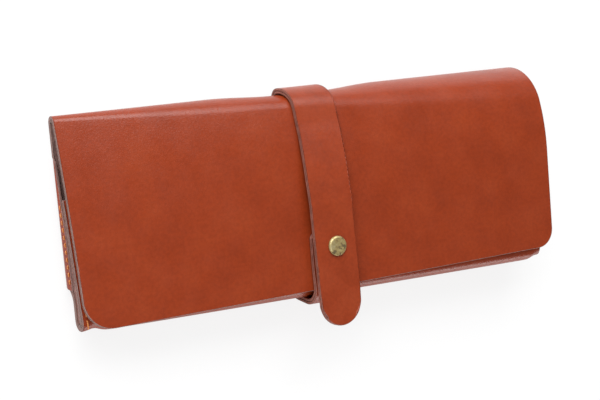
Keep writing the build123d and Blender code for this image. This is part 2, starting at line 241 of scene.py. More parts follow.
def mouth_turn(x):
    first, last = bow(x)[2:]
    start, end = flat_end(x)[0], shoulder(x)[0]
    top = HEIGHT - between(x, MOUTH_LEFT, MOUTH_RIGHT)
    return first + (last - first) * (top - start) / (end - start)


def pocket_top(x, low):
    """Pocket front from a height up to the mouth, in its own outer face."""
    depth = pocket_depth(x)
    curve, radius, first = bow(x)[:3]
    return chain(run((low, flat_level(x, low, depth)), inset(x, flat_end(x), depth), 16),
                 arc(curve, radius - depth, first, mouth_turn(x), 14))


def round_under(x, low, first_radius, high, last_radius, steps):
    """Round the bottom: an arc about each centre, and the straight run that touches both."""
    across, up = high[0] - low[0], high[1] - low[1]
    turn = math.degrees(math.atan2(up, across)
                        - math.acos((last_radius - first_radius) / math.hypot(across, up)))
    first = arc(low, first_radius, -90, turn - 180, steps)
    last = arc(high, last_radius, turn + 180, facing(x), steps)
    return chain(first, run(first[-1], last[0], 4), last)


def heel_drop(x):
    return between(x, HEEL_DROP_LEFT, HEEL_DROP_RIGHT)


def lower_path(x):
    """Back, bottom fold and pocket front."""
    closed = closing(x)
    lift, tuck, end_bend = by_side(x, (LIFT_LEFT, TUCK_LEFT, BEND_LEFT),
                                   (LIFT_RIGHT, TUCK_RIGHT, BEND_RIGHT))
    pinched = math.exp(-((x - PINCHED_X) / PINCHED_WIDTH) ** 2)
    drop = heel_drop(x) - tuck * closed - PINCHED_UP * pinched
    radius = HEEL_RADIUS + (end_bend - HEEL_RADIUS) * closed
    floor = CHANNEL * channel(x) + lift * closed
    low = radius - drop + HEEL_PINCH * channel(x), floor + radius
    high = radius - drop, flat_level(x, radius - drop, pocket_depth(x) + radius)
    top = crest(x)[0] - crest(x)[1] + CHANNEL * channel(x)
    bend_start = LIFT_HIGH + 1.0
    y = np.concatenate([np.linspace(top, bend_start, 19), np.linspace(bend_start, low[0], 15)[1:]])
    raised = 1.0 - smooth(y, LIFT_LOW, LIFT_HIGH)
    start = np.stack([y, CHANNEL * channel(x) + lift * closed * raised], 1)
    under = round_under(x, low, radius, high, radius, 9)
    return chain(start, under, pocket_top(x, under[-1][0]))


# Meshes

def ramp(low, high, count):
    return list(np.linspace(low, high, count))


def case_columns():
    """Places along the case: close together at the rounded corners and at the two raw ends."""
    turns = np.linspace(0, math.pi / 2, 13)
    left = [FLAP_CORNER_LEFT * (1 - math.sin(a)) - HALF for a in turns[::-1]]
    right = [HALF - FLAP_CORNER_RIGHT * (1 - math.sin(a)) for a in turns]
    return left + ramp(left[-1], right[0], 92)[1:-1] + right


def frame_point(points):
    """Millimetres from the flap's lower edge to metres of the frame."""
    moved = np.array(points, float)
    moved[..., 1] -= MIDDLE_Y
    return moved * MM


def make_mesh(name, points, faces, kinds, materials, grain=None):
    mesh = bpy.data.meshes.new(name)
    mesh.from_pydata([tuple(p) for p in frame_point(points)], [], faces)
    for material in materials:
        mesh.materials.append(material)
    mesh.polygons.foreach_set("material_index", kinds)
    mesh.polygons.foreach_set("use_smooth", [True] * len(faces))
    if grain is not None:
        layer = mesh.attributes.new("grain", "FLOAT_VECTOR", "POINT")
        layer.data.foreach_set("vector", (np.array(grain, float) * MM).ravel())
    mesh.update()
    piece = bpy.data.objects.new(name, mesh)
    bpy.context.scene.collection.objects.link(piece)
    return piece


def unit(vectors):
    return vectors / (np.linalg.norm(vectors, axis=-1, keepdims=True) + 1e-12)


def along(grid, axis):
    """Direction of a grid of points along one of its axes."""
    steps = unit(np.diff(grid, axis=axis))
    first, last = np.take(steps, [0], axis), np.take(steps, [-1], axis)
    return unit(np.concatenate([first, steps], axis) + np.concatenate([steps, last], axis))


def sheet(name, base, grain, offset, thickness, materials, open_rows=(), edge=EDGE_ROUND, ripple=None):
    """A sheet with real thickness and rounded cut edges on a grid of points. offset lifts its outer
    face from the grid. open_rows names the rows, first or last, that meet another piece."""
    count, length = base.shape[:2]
    tangent = along(base, 1)
    normal = unit(np.cross(along(base, 0), tangent))
    across = np.cross(tangent, normal)
    if ripple is not None:
        base = base + normal * ripple(grain)[..., None]
    offset = np.broadcast_to(offset, (count, length))
    thickness = np.broadcast_to(thickness, (count, length))
    ring = []
    if "first" not in open_rows:
        ring = [(i, 0) for i in range(count - 1)]
    ring += [(count - 1, j) for j in range(length - 1)]
    if "last" not in open_rows:
        ring += [(i, length - 1) for i in range(count - 1, 0, -1)]
        ring += [(0, j) for j in range(length - 1, 0, -1)]
    closed = not open_rows
    if open_rows == ("last",):
        ring = [(0, j) for j in range(length - 1, 0, -1)] + ring + [(count - 1, length - 1)]
    elif open_rows == ("first",):
        ring = ring + [(0, 0)]
    rings = [ring]
    if len(open_rows) == 2:
        rings = [[(count - 1, j) for j in range(length)], [(0, j) for j in range(length - 1, -1, -1)]]
    top = base + normal * offset[..., None]
    under = base + normal * (offset - thickness)[..., None]
    points, spots, faces, kinds = [], [], [], []

    def put(place, where):
        points.append(place)
        spots.append(where)
        return len(points) - 1

    inward = {}
    for line in rings:
        for k, (i, j) in enumerate(line):
            before = line[k - 1] if k or closed else line[k]
            after = line[(k + 1) % len(line)] if k + 1 < len(line) or closed else line[k]
            step = base[after] - base[before]
            flat = unit(np.array([step @ across[i, j], step @ tangent[i, j]]))
            inward[i, j] = across[i, j] * -flat[1] + tangent[i, j] * flat[0]
    for (i, j), way in inward.items():
        top[i, j] += way * edge
        under[i, j] += way * edge
    top_index = [[put(top[i, j], grain[i, j]) for j in range(length)] for i in range(count)]
    under_index = [[put(under[i, j], grain[i, j] + np.array([0, 0, -thickness[i, j]]))
                    for j in range(length)] for i in range(count)]
    for i in range(count - 1):
        for j in range(length - 1):
            faces.append((top_index[i][j], top_index[i + 1][j],
                          top_index[i + 1][j + 1], top_index[i][j + 1]))
            kinds.append(0)
            faces.append((under_index[i][j], under_index[i][j + 1], under_index[i + 1][j + 1],
                          under_index[i + 1][j]))
            kinds.append(1)
    soft = edge * (1 - math.sqrt(0.5))
    for line in rings:
        bands = [[top_index[i][j] for i, j in line]]
        for pulled, near_top, share in ((soft, soft, 0), (0.0, edge, 0), (0.0, 0.0, 0.5),
                                        (0.0, -edge, 1), (soft, -soft, 1)):
            band = []
            for i, j in line:
                down = near_top + share * thickness[i, j]
                band.append(put(base[i, j] + normal[i, j] * (offset[i, j] - down) + inward[i, j] * pulled,
                                grain[i, j] + np.array([0, 0, -down])))
            bands.append(band)
        bands.append([under_index[i][j] for i, j in line])
        last = len(line) if closed else len(line) - 1
        for high, low in zip(bands[:-1], bands[1:]):
            for k in range(last):
                after = (k + 1) % len(line)
                faces.append((high[k], low[k], low[after], high[after]))
                kinds.append(2)
    return make_mesh(name, points, faces, kinds, materials, spots)


def grid_of(columns, path, shift=None):
    """Grid of points from a path at each column, and where each lies on the flat sheet."""
    base, grain = [], []
    for x in columns:
        rows = path(x)
        steps = np.concatenate([[0], np.cumsum(np.hypot(*np.diff(rows, axis=0).T))])
        base.append(np.column_stack([np.full(len(rows), x), rows]))
        grain.append(np.column_stack([np.full(len(rows), x), rows[0, 0] + steps, np.zeros(len(rows))]))
    base, grain = np.array(base), np.array(grain)
    if shift is not None:
        base[..., 0] += shift(base)
    return base, grain


def stitches(name, places, ways, outs, length, width):
    """Sewing stitches: each lies on the surface and dips into it at both ends."""
    points, faces = [], []
    sides = 8
    for place, way, out in zip(places, ways, outs):
        way = unit(np.array(way, float))
        out = unit(np.array(out, float) - way * (np.array(out, float) @ way))
        side = np.cross(way, out)
        start = len(points)
        shares = np.linspace(-1, 1, 9)
        for share in shares:
            middle = np.array(place) + way * share * length / 2 + out * width * (0.36 - 0.75 * share ** 4)
            size = width / 2 * (1 - 0.35 * share ** 4)
            for k in range(sides):
                turn = 2 * math.pi * k / sides
                points.append(middle + side * size * math.cos(turn) + out * size * 0.8 * math.sin(turn))
        for ring in range(len(shares) - 1):
            for k in range(sides):
                after = (k + 1) % sides
                low, high = start + ring * sides, start + (ring + 1) * sides
                faces.append((low + k, low + after, high + after, high + k))
        faces.append(tuple(start + k for k in range(sides))[::-1])
        faces.append(tuple(len(points) - sides + k for k in range(sides)))
    piece = make_mesh(name, points, faces, [0] * len(faces), [thread])
    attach(piece, "root")


# Materials

def principled(name):
    material = bpy.data.materials.new(name)
    material.use_nodes = True
    tree = material.node_tree
    return material, tree, tree.nodes["Principled BSDF"]


def add(tree, kind, **settings):
    node = tree.nodes.new(kind)
    for key, value in settings.items():
        setattr(node, key, value)
    return node


def place_of(tree):
    """Where a point lies on the flat sheet, so that the grain stays with it when it bends."""
    return add(tree, "ShaderNodeAttribute", attribute_name="grain").outputs["Vector"]


def noise(tree, place, scale, detail=3.0, roughness=0.55):
    node = add(tree, "ShaderNodeTexNoise")
    node.inputs["Scale"].default_value = scale
    node.inputs["Detail"].default_value = detail
    node.inputs["Roughness"].default_value = roughness
    tree.links.new(place, node.inputs["Vector"])
    return node.outputs["Fac"]


def cells(tree, place, scale):
    node = add(tree, "ShaderNodeTexVoronoi", feature="F1")
    node.inputs["Scale"].default_value = scale
    tree.links.new(place, node.inputs["Vector"])
    return node.outputs["Distance"]


def ramp_of(tree, fac, stops):
    node = add(tree, "ShaderNodeValToRGB")
    tree.links.new(fac, node.inputs["Fac"])
    band = node.color_ramp
    while len(band.elements) < len(stops):
        band.elements.new(0.5)
    for element, (position, colour) in zip(band.elements, stops):
        element.position = position
        element.color = (*colour, 1.0)
    return node.outputs["Color"]


def grey(value):
    return value, value, value


def mix(tree, fac, first, second, blend_type="MIX"):
    node = add(tree, "ShaderNodeMix", data_type="RGBA", blend_type=blend_type)
    for socket, value in ((node.inputs[0], fac), (node.inputs[6], first), (node.inputs[7], second)):
        if isinstance(value, bpy.types.NodeSocket):
            tree.links.new(value, socket)
        else:
            socket.default_value = value if isinstance(value, float) else (*value, 1.0)
    return node.outputs[2]


def calc(tree, operation, first, second):
    node = add(tree, "ShaderNodeMath", operation=operation)
    for socket, value in zip(node.inputs, (first, second)):
        if isinstance(value, bpy.types.NodeSocket):
            tree.links.new(value, socket)
        else:
            socket.default_value = value
    return node.outputs[0]


def bump(tree, shader, height, strength, distance):
    node = add(tree, "ShaderNodeBump")
    node.inputs["Strength"].default_value = strength
    node.inputs["Distance"].default_value = distance
    tree.links.new(height, node.inputs["Height"])
    tree.links.new(node.outputs["Normal"], shader.inputs["Normal"])


def leather_material(name, deep, plain, light, grain_size):
    """Smooth finished leather: mottled dye and a fine pebbled grain."""
    material, tree, shader = principled(name)
    place = place_of(tree)
    cloud = noise(tree, place, 70.0, 6.0, 0.62)
    dye = ramp_of(tree, cloud, [(0.26, deep), (0.50, plain), (0.76, light)])
    fleck = noise(tree, place, 900.0, 2.0, 0.5)
    fleck_tone = ramp_of(tree, fleck, [(0.35, grey(0.90)), (0.62, grey(1.0))])
    tree.links.new(mix(tree, 1.0, dye, fleck_tone, "MULTIPLY"), shader.inputs["Base Color"])
    pebble = cells(tree, place, 1.0 / grain_size)
    pores = noise(tree, place, 2.2 / grain_size, 3.0, 0.6)
    height = calc(tree, "ADD", calc(tree, "MULTIPLY", pebble, 0.55), calc(tree, "MULTIPLY", pores, 0.6))
    bump(tree, shader, height, 0.32, 0.00012)
    worn = noise(tree, place, 120.0, 3.0, 0.6)
    sheen = ramp_of(tree, worn, [(0.3, grey(0.28)), (0.7, grey(0.36))])
    tree.links.new(sheen, shader.inputs["Roughness"])
    shader.inputs["Specular IOR Level"].default_value = 0.42
    return material


def edge_material(name, dark, pale):
    """Cut edge of leather, sealed with a thin greyish finish that the fibres show through."""
    material, tree, shader = principled(name)
    place = place_of(tree)
    stretch = add(tree, "ShaderNodeMapping")
    stretch.inputs["Scale"].default_value = (0.25, 0.25, 3.0)
    tree.links.new(place, stretch.inputs["Vector"])
    fibres = noise(tree, stretch.outputs["Vector"], 1400.0, 4.0, 0.65)
    colour = ramp_of(tree, fibres, [(0.30, dark), (0.66, pale)])
    tree.links.new(colour, shader.inputs["Base Color"])
    bump(tree, shader, fibres, 0.45, 0.00012)
    shader.inputs["Roughness"].default_value = 0.62
    return material


def suede_material(name, deep, pale):
    """Matt, napped underside."""
    material, tree, shader = principled(name)
    place = place_of(tree)
    nap = noise(tree, place, 700.0, 5.0, 0.7)
    cloud = noise(tree, place, 60.0, 3.0, 0.5)
    both = calc(tree, "ADD", calc(tree, "MULTIPLY", nap, 0.6), calc(tree, "MULTIPLY", cloud, 0.4))
    tree.links.new(ramp_of(tree, both, [(0.36, deep), (0.64, pale)]), shader.inputs["Base Color"])
    bump(tree, shader, nap, 0.7, 0.0002)
    shader.inputs["Roughness"].default_value = 0.9
    shader.inputs["Specular IOR Level"].default_value = 0.2
    shader.inputs["Sheen Weight"].default_value = 0.25
    return material


def thread_material():
    material, tree, shader = principled("thread")
    place = add(tree, "ShaderNodeTexCoord").outputs["Object"]
    ply = noise(tree, place, 4200.0, 2.0, 0.6)
    colour = ramp_of(tree, ply, [(0.3, (0.36, 0.10, 0.022)), (0.7, (0.62, 0.22, 0.055))])
    tree.links.new(colour, shader.inputs["Base Color"])
    bump(tree, shader, ply, 0.4, 0.00008)
    shader.inputs["Roughness"].default_value = 0.6
    return material


def brass_material():
    """Old brass: bright in worn patches, dark and matt between them."""
    material, tree, shader = principled("old_brass")
    place = add(tree, "ShaderNodeTexCoord").outputs["Object"]
    patch = noise(tree, place, 620.0, 5.0, 0.62)
    speck = noise(tree, place, 3200.0, 3.0, 0.6)
    colour = ramp_of(tree, patch, [(0.38, (0.10, 0.07, 0.03)), (0.46, (0.34, 0.25, 0.10)),
                                   (0.54, (0.46, 0.37, 0.17)), (0.66, (0.60, 0.51, 0.29))])
    tree.links.new(colour, shader.inputs["Base Color"])
    rough = ramp_of(tree, patch, [(0.35, grey(0.72)), (0.6, grey(0.36))])
    tree.links.new(rough, shader.inputs["Roughness"])
    metal = ramp_of(tree, patch, [(0.38, grey(0.2)), (0.5, grey(0.6))])
    tree.links.new(metal, shader.inputs["Metallic"])
    bump(tree, shader, calc(tree, "ADD", patch, calc(tree, "MULTIPLY", speck, 0.4)), 0.35, 0.0001)
    return material


leather = leather_material("leather", (0.200, 0.0245, 0.0047), (0.234, 0.0300, 0.0062),
                           (0.262, 0.0375, 0.0086), 0.00056)
strap_leather = leather_material("strap_leather", (0.185, 0.0235, 0.0050), (0.240, 0.0325, 0.0076),
                                 (0.275, 0.0425, 0.0110), 0.00054)
raw_edge = edge_material("raw_edge", (0.120, 0.056, 0.048), (0.270, 0.150, 0.128))
strap_edge = edge_material("strap_edge", (0.125, 0.034, 0.020), (0.300, 0.105, 0.074))
# Partly the lining's own dark brown and partly painted shade: this darker suede goes on the lining's cut
# edges to stand in for the shade in the gap between flap and pocket.
gap_shaded_suede = suede_material("gap_shaded_suede", (0.075, 0.028, 0.018), (0.16, 0.070, 0.045))
lining_cloth = suede_material("lining_cloth", (0.10, 0.048, 0.040), (0.20, 0.11, 0.095))
thread = thread_material()
brass = brass_material()

SHEET_LOOK = [leather, gap_shaded_suede, raw_edge]
# The lining's cut edge takes the darker suede rather than the lining cloth, as painted shade for the dark
# gap under the flap.
LINING_LOOK = [gap_shaded_suede, lining_cloth, gap_shaded_suede]
STRAP_LOOK = [strap_leather, gap_shaded_suede, strap_edge]
STRAP_UNDER_LOOK = [gap_shaded_suede, strap_leather, strap_edge]

# Outer sheet and its lining

columns = case_columns()


def flap_low(x):
    """Lower edge of the flap, with its two rounded corners."""
    corner = FLAP_CORNER_LEFT if x < 0 else FLAP_CORNER_RIGHT
    over = max(0.0, abs(x) - (HALF - corner))
    return corner - math.sqrt(max(0.0, corner ** 2 - over ** 2))


SWELL, SWELL_LENGTH = 1.0, 64.0     # how much more the flap swells out at the flatter end
SWELL_FULL, SWELL_NONE = -84.0, 30.0
WAVE, FINE_WAVE = 0.10, 0.045


def soft_ripple(grain):
    """Slight unevenness of soft leather, and the swell of the flap at its flatter end."""
    x, s = grain[..., 0], grain[..., 1]
    wave = np.sin(x / 23.0 + 0.7) * np.cos(s / 17.0 + x / 61.0)
    fine = np.sin(x / 9.3 + s / 13.1) * np.sin(s / 8.1 - x / 29.0 + 1.1)
    up = np.clip(s / SWELL_LENGTH, 0.0, 1.0)
    swell = SWELL * 4 * up * (1 - up)
    flatter = 1 - smooth(x, SWELL_FULL, SWELL_NONE)
    return (WAVE * wave + FINE_WAVE * fine) * (1 - smooth(s, 46.0, 58.0)) + swell * flatter


def end_pull(y, z):
    """How far the fuller end's lower corner is drawn in at a height and a level."""
    return PULL_RIGHT * (1 - smooth(y, -1.0, 7.0)) * z / THICK_RIGHT


def corner_pull(base):
    """The fuller end's lower corner is drawn in behind the flap's round corner."""
    x, y, z = base[..., 0], base[..., 1], base[..., 2]
    return edge_recess(base) - smooth(x, HALF - CLOSING_RIGHT, HALF) * end_pull(y, z)


def edge_recess(base):
    """The back's raw edge is drawn in where the wing goes over it."""
    x, y, z = base[..., 0], base[..., 1], base[..., 2]
    top = np.where(x < 0, WING_TOP_LEFT, WING_TOP_RIGHT)
    under = smooth(y, LIFT_HIGH - 4.0, LIFT_HIGH) * (1 - smooth(y, top - 4.0, top - 0.5))
    near_end = smooth(abs(x), HALF - RECESS_WIDTH, HALF)
    return -np.sign(x) * RECESS * near_end * under * (1 - smooth(z, 2.0, 3.5))


UNDER_LEATHER = -LEATHER - GLUE_LINE
upper, upper_grain = grid_of(columns, lambda x: upper_path(x, flap_low(x)), edge_recess)
lower, lower_grain = grid_of(columns, lower_path, corner_pull)
lower_grain[..., 1] += (upper_grain[:, -1, 1] - lower_grain[:, 0, 1])[:, None]
outer_upper = sheet("outer_leather", upper, upper_grain, 0.0, LEATHER, SHEET_LOOK, ("last",),
                    ripple=soft_ripple)
inner_upper = sheet("flap_and_fold_lining", upper, upper_grain, UNDER_LEATHER, LINING, LINING_LOOK,
                    ("last",), edge=LINING_ROUND, ripple=soft_ripple)
outer_lower = sheet("back_and_pocket_leather", lower, lower_grain, 0.0, LEATHER, SHEET_LOOK,
                    ("first",))
inner_lower = sheet("back_and_pocket_lining", lower, lower_grain, UNDER_LEATHER, LINING, LINING_LOOK,
                    ("first",), edge=LINING_ROUND)


def fold_blend(piece):
    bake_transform(piece)


fold_blend(outer_upper)
fold_blend(inner_upper)
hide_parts("flap_panel", "top_fold")
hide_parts("flap_lining", "fold_lining")
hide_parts("back_panel", "bottom_fold", "pocket_front")
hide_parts("back_lining", "bottom_lining", "pocket_lining")
for piece in (outer_lower, inner_lower):
    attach(piece, "root")

# Side pieces: leather layers sewn in behind the pocket's edge, a wing that bulges out over the
# back's raw edge, and a flange on the back's lining

STACK_HEIGHTS = (4.0, 8.0, 17.5, 24.6, 37.6)
STACK_DEPTHS = (5.6, 4.9, 3.7, 2.9, 2.3)
LAYERS = 3
LAYER_LOW_LEFT, LAYER_LOW_RIGHT = 1.6, 1.2
LAYER_STAGGER = 0.10    # how much the layers' raw edges differ
WING_TOP_LEVEL = 1.9    # the wing's front line ends near the back, above the pocket's mouth
WING_GRAIN = 200.0      # where the wing's grain is taken from on the hide


def mouth_height(side):
    return HEIGHT - by_side(side, MOUTH_LEFT, MOUTH_RIGHT)


def stack_depth(y):
    """Thickness of all that is sewn together at the pocket's edge, the pocket front included."""
    return np.interp(y, STACK_HEIGHTS, STACK_DEPTHS)


def side_layers(side, name):
    low = by_side(side, LAYER_LOW_LEFT, LAYER_LOW_RIGHT)
    made = []
    for layer in range(LAYERS):
        edge_in = LAYER_STAGGER * ((layer * 2) % 3) - LAYER_STAGGER / 2
        span = sorted((side * (HALF - edge_in), side * (HALF - FLANGE)))
        base, grain = grid_of(ramp(*span, 6), lambda x: pocket_top(x, low), corner_pull)
        each = (stack_depth(base[..., 1]) - SHEET) / LAYERS
        made.append(sheet(f"{name}_layer_{layer + 1}", base, grain, -SHEET - layer * each - HAIR,
                          each - 0.03, SHEET_LOOK, edge=LAYER_ROUND))
    return made


def wing_rows(side, share):
    """One line of the wing's outer face along Y, at a share of the way from the back to the front."""
    low, lift = by_side(side, (WING_LOW_LEFT, 0.0), (WING_LOW_RIGHT, LIFT_RIGHT))
    top = by_side(side, WING_TOP_LEFT, WING_TOP_RIGHT)
    bulge = by_side(side, WING_BULGE_LEFT, WING_BULGE_RIGHT)
    mouth = mouth_height(side)
    depth = pocket_depth(side * HALF)
    rows = []
    for y in np.linspace(low - WING_SLANT * share, top - 1.5 * share ** 2, 44):
        at = min(y, mouth - 0.5)
        front = face_level(side * HALF, at, depth) - stack_depth(at)
        front += (WING_TOP_LEVEL - front) * smooth(y, mouth - 1.0, top + 0.5)
        rear = HAIR + lift * (1 - smooth(y, LIFT_LOW, LIFT_HIGH))
        z = rear + (front - rear) * share
        out = bulge * math.sin(min(0.5 * math.pi, 0.5 * (z - rear) / bulge)) - WING_REAR_IN
        out -= (out - WING_FRONT_OUT) * smooth(share, 0.55, 1.0)
        if side > 0:
            out -= end_pull(y, z)
        rows.append((side * (HALF + out), y, z))
    return rows


def wing(side, name):
    shares = np.linspace(0, 1, 15)
    base = np.array([wing_rows(side, share) for share in shares]).transpose(1, 0, 2)
    if side < 0:
        base = base[::-1]
    steps = np.linalg.norm(np.diff(base, axis=1), axis=2)
    run_along = np.concatenate([np.zeros((len(base), 1)), np.cumsum(steps, axis=1)], 1)
    grain = np.stack([run_along + WING_GRAIN * side, base[..., 1], np.zeros(run_along.shape)], 2)
    return sheet(name, base, grain, 0.0, GUSSET, SHEET_LOOK)


def back_flange(side, name):
    span = sorted((side * (HALF - 0.3), side * (HALF - FLANGE)))
    top = by_side(side, FLANGE_TOP_LEFT, FLANGE_TOP_RIGHT)
    level = SHEET + HAIR
    base, grain = grid_of(ramp(*span, 6), lambda x: run((top, level), (FLANGE_LOW, level), 12))
    return sheet(name, base, grain, 0.0, GUSSET, [gap_shaded_suede, gap_shaded_suede, raw_edge], edge=LINING_ROUND)


SIDES = (-1, "gusset_left"), (1, "gusset_right")
for side, node in SIDES:
    for piece in side_layers(side, node) + [wing(side, node + "_wing"),
                                            back_flange(side, node + "_flange")]:
        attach(piece, "root")
        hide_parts(node)

# Stitches

STITCH_PITCH, STITCH_LENGTH, STITCH_WIDTH = 2.15, 1.5, 0.55
SEAM_SHARE = 0.86       # how far from the back to the front the wing's seam lies
SEAM_IN = 1.2           # how far inside the end the pocket's seam lies
LONGER = 1.3            # how much longer the stitches on the pocket front are


def wing_stitches(side, name):
    places, ways, outs = [], [], []
    line = np.array(wing_rows(side, SEAM_SHARE))
    inner = np.array(wing_rows(side, SEAM_SHARE - 0.06))
    low = by_side(side, WING_LOW_LEFT, WING_LOW_RIGHT)
    for y in np.arange(low + 1.4, mouth_height(side) - 1.0, STITCH_PITCH):
        k = int(np.argmin(abs(line[:, 1] - y)))
        way = line[min(k + 1, len(line) - 1)] - line[k - 1]
        slope = line[k] - inner[k]
        out = np.cross(way, slope) * side
        out = out if out[0] * side > 0 else -out
        place = np.array([np.interp(y, line[:, 1], line[:, axis]) for axis in range(3)])
        places.append(place)
        ways.append(way)
        outs.append(out)
    stitches(name, places, ways, outs, STITCH_LENGTH, STITCH_WIDTH)


def pocket_stitches(side, name):
    """The same seam on the pocket front, hidden by the flap apart from its lowest stitch."""
    x = side * (HALF - SEAM_IN)
    places, ways, outs = [], [], []
    for y in np.arange(by_side(side, 1.9, 7.0), mouth_height(side) - 1.0, STITCH_PITCH + LONGER):
        here, above = [face_level(x, h, pocket_depth(x)) for h in (y, y + 0.1)]
        places.append((x, y, here))
        ways.append((0, 0.1, above - here))
        outs.append((0, 0, 1))
    stitches(name, places, ways, outs, STITCH_LENGTH + LONGER, STITCH_WIDTH)


for side, node in SIDES:
    wing_stitches(side, node + "_stitches")
    pocket_stitches(side, node + "_front_stitches")

# Strap

STRAP_SEAM = 54.0
TONGUE_SEAM = 8.0
TIP_RADIUS = STRAP_WIDTH / 2
FRONT_HEIGHTS = (-12.0, -3.0, 7.0, 15.0, 26.0, 33.0, 42.0, 49.0)
FRONT_DRIFT = (-0.85, -0.55, -0.3, -0.2, 0.0, 0.2, 0.7, 1.1)
BACK_HEIGHTS, BACK_DRIFT = (2.0, 56.0), (1.0, -0.1)
TIP_TAPER = 0.035       # how much narrower the strap is at its tip
TONGUE_HEIGHTS, TONGUE_DRIFT = (-4.0, 1.8, 6.7, 15.8), (-0.3, -0.35, -0.3, 0.1)


def strap_columns():
    turns = np.linspace(-math.pi / 2, math.pi / 2, 25)
    return [STRAP_X + TIP_RADIUS * math.sin(a) for a in turns]


def tongue_columns():
    inner = STRAP_WIDTH / 2 - TONGUE_CORNER
    corner = [inner + TONGUE_CORNER * math.sin(a) for a in np.linspace(0, math.pi / 2, 7)]
    middle = ramp(-inner, inner, 11)
    return [STRAP_X + v for v in [-c for c in corner[::-1]] + middle[1:-1] + corner]


def strap_drift(base):
    """The strap wanders sideways: it leans one way on the front and the other on the back."""
    x, y, z = base[..., 0], base[..., 1], base[..., 2]
    front = np.interp(y, FRONT_HEIGHTS, FRONT_DRIFT)
    front = front + (STRAP_X - x) * TIP_TAPER * (1 - smooth(y, -8.0, 3.0))
    rear = np.interp(y, BACK_HEIGHTS, BACK_DRIFT)
    return rear + (front - rear) * smooth(z, 2.5, 12.0)


def tongue_drift(base):
    y, z = base[..., 1], base[..., 2]
    front = np.interp(y, TONGUE_HEIGHTS, TONGUE_DRIFT)
    rear = np.interp(y, BACK_HEIGHTS, BACK_DRIFT)
    return rear + (front - rear) * smooth(z, 1.0, 6.0)


def strap_over_path(x):
    """Outer face of the strap from the seam on the front, over the fold, to the back."""
    clear = ARCH_GAP + STRAP
    curve, radius, _, last = bow(x)
    fold, fold_radius, fold_turn = fold_front(x)
    top, level = crest(x)
    seam_turn = math.degrees(math.acos((STRAP_SEAM - curve[0]) / (radius + clear)))
    centre = top + clear - level
    return chain(arc(curve, radius + clear, max(seam_turn, last + 0.5), last, 3),
                 arc(fold, fold_radius + clear, fold_turn, 0, 16),
                 arc((centre, level), level, 0, -90, 12),
                 run((centre, 0.0), (TONGUE_SEAM, 0.0), 14))


def strap_tip(x):
    aside = min(abs(x - STRAP_X), TIP_RADIUS)
    return -STRAP_TIP + TIP_RADIUS - math.sqrt(TIP_RADIUS ** 2 - aside ** 2)


def strap_front_path(x):
    """Outer face of the strap from its tip up to the seam near the fold. It hangs high over the
    tongue and comes down to the arch's gap."""
    curve, radius, first, last = bow(x)
    turn = math.radians(facing(x))
    high = STRAP_LIFT + STRAP
    low = strap_tip(x) - high * math.cos(turn)
    clear = ARCH_GAP + STRAP
    seam_turn = max(math.degrees(math.acos((STRAP_SEAM - curve[0]) / (radius + clear))), last + 0.5)
    hinge_turn = math.degrees(math.acos((HEIGHT - STRAP_TURN - curve[0]) / radius))
    end = flat_end(x)

    def lifted(point, lift):
        return point[0] + lift * math.cos(turn), point[1] + lift * math.sin(turn)

    start = lifted((low, flat_level(x, low, 0.0)), high)
    ease = lifted((low + 0.4, flat_level(x, low + 0.4, 0.0)), high)
    rows = [run(start, ease, 1), run(ease, lifted(end, high), 28)]
    bent = []
    for angle in np.linspace(first, seam_turn, 20):
        share = np.clip((first - angle) / (first - hinge_turn), 0.0, 1.0)
        reach = radius + STRAP + STRAP_LIFT + (ARCH_GAP - STRAP_LIFT) * share
        bent.append((curve[0] + reach * math.cos(math.radians(angle)),
                     curve[1] + reach * math.sin(math.radians(angle))))
    return chain(*rows, np.array(bent))


def tongue_path(x):
    """Outer face from the back, round the bottom and up onto the flap, to the free end."""
    low = -heel_drop(x) - HEEL_GAP - STRAP
    middle = low + TONGUE_BEND
    high = middle, flat_level(x, middle, TONGUE_BEND - TONGUE_FACE)
    rear = HEEL_RADIUS - heel_drop(x) + HEEL_PINCH * channel(x), CHANNEL * channel(x) + HEEL_RADIUS
    aside = abs(x - STRAP_X) - (STRAP_WIDTH / 2 - TONGUE_CORNER)
    end = TONGUE_END
    if aside > 0:
        end -= TONGUE_CORNER - math.sqrt(max(0.0, TONGUE_CORNER ** 2 - aside ** 2))
    under = round_under(x, rear, CHANNEL + HEEL_RADIUS, high, TONGUE_BEND, 12)
    tip = end, flat_level(x, end, -TONGUE_FACE)
    ease = end - 0.4, flat_level(x, end - 0.4, -TONGUE_FACE)
    return chain(run((TONGUE_SEAM, 0.0), tuple(under[0]), 3), under, run(tuple(under[-1]), ease, 12),
                 run(ease, tip, 1))


SECOND_PLY = -STRAP_PLY - GLUE_LINE


def strap_pair(name, places, path, open_rows, nodes, drift):
    """The strap's two plies on one path."""
    made = []
    for suffix, offset, look, node in (("_outer", 0.0, STRAP_LOOK, nodes[0]),
                                       ("_under", SECOND_PLY, STRAP_UNDER_LOOK, nodes[1])):
        piece = sheet(name + suffix, *grid_of(places, path, drift), offset, STRAP_PLY, look,
                      open_rows, STRAP_ROUND)
        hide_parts(*node)
        made.append(piece)
    return made


over_nodes = ("strap_arch", "strap_back"), ("arch_lining", "strap_back_lining")
for piece in strap_pair("strap_over", strap_columns(), strap_over_path, ("first", "last"),
                        over_nodes, strap_drift):
    fold_blend(piece)
front_nodes = ("strap_front",), ("strap_lining",)
for piece in strap_pair("strap_front", strap_columns(), strap_front_path, ("last",),
                        front_nodes, strap_drift):
    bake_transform(piece)
tongue_nodes = ("tongue_bend", "tongue_front"), ("bend_lining", "tongue_lining")
for piece in strap_pair("tongue", tongue_columns(), tongue_path, ("first",),
                        tongue_nodes, tongue_drift):
    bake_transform(piece)

STRAP_STITCH_ROWS, STRAP_STITCH_WIDTH = (21.0, 43.0), 0.3


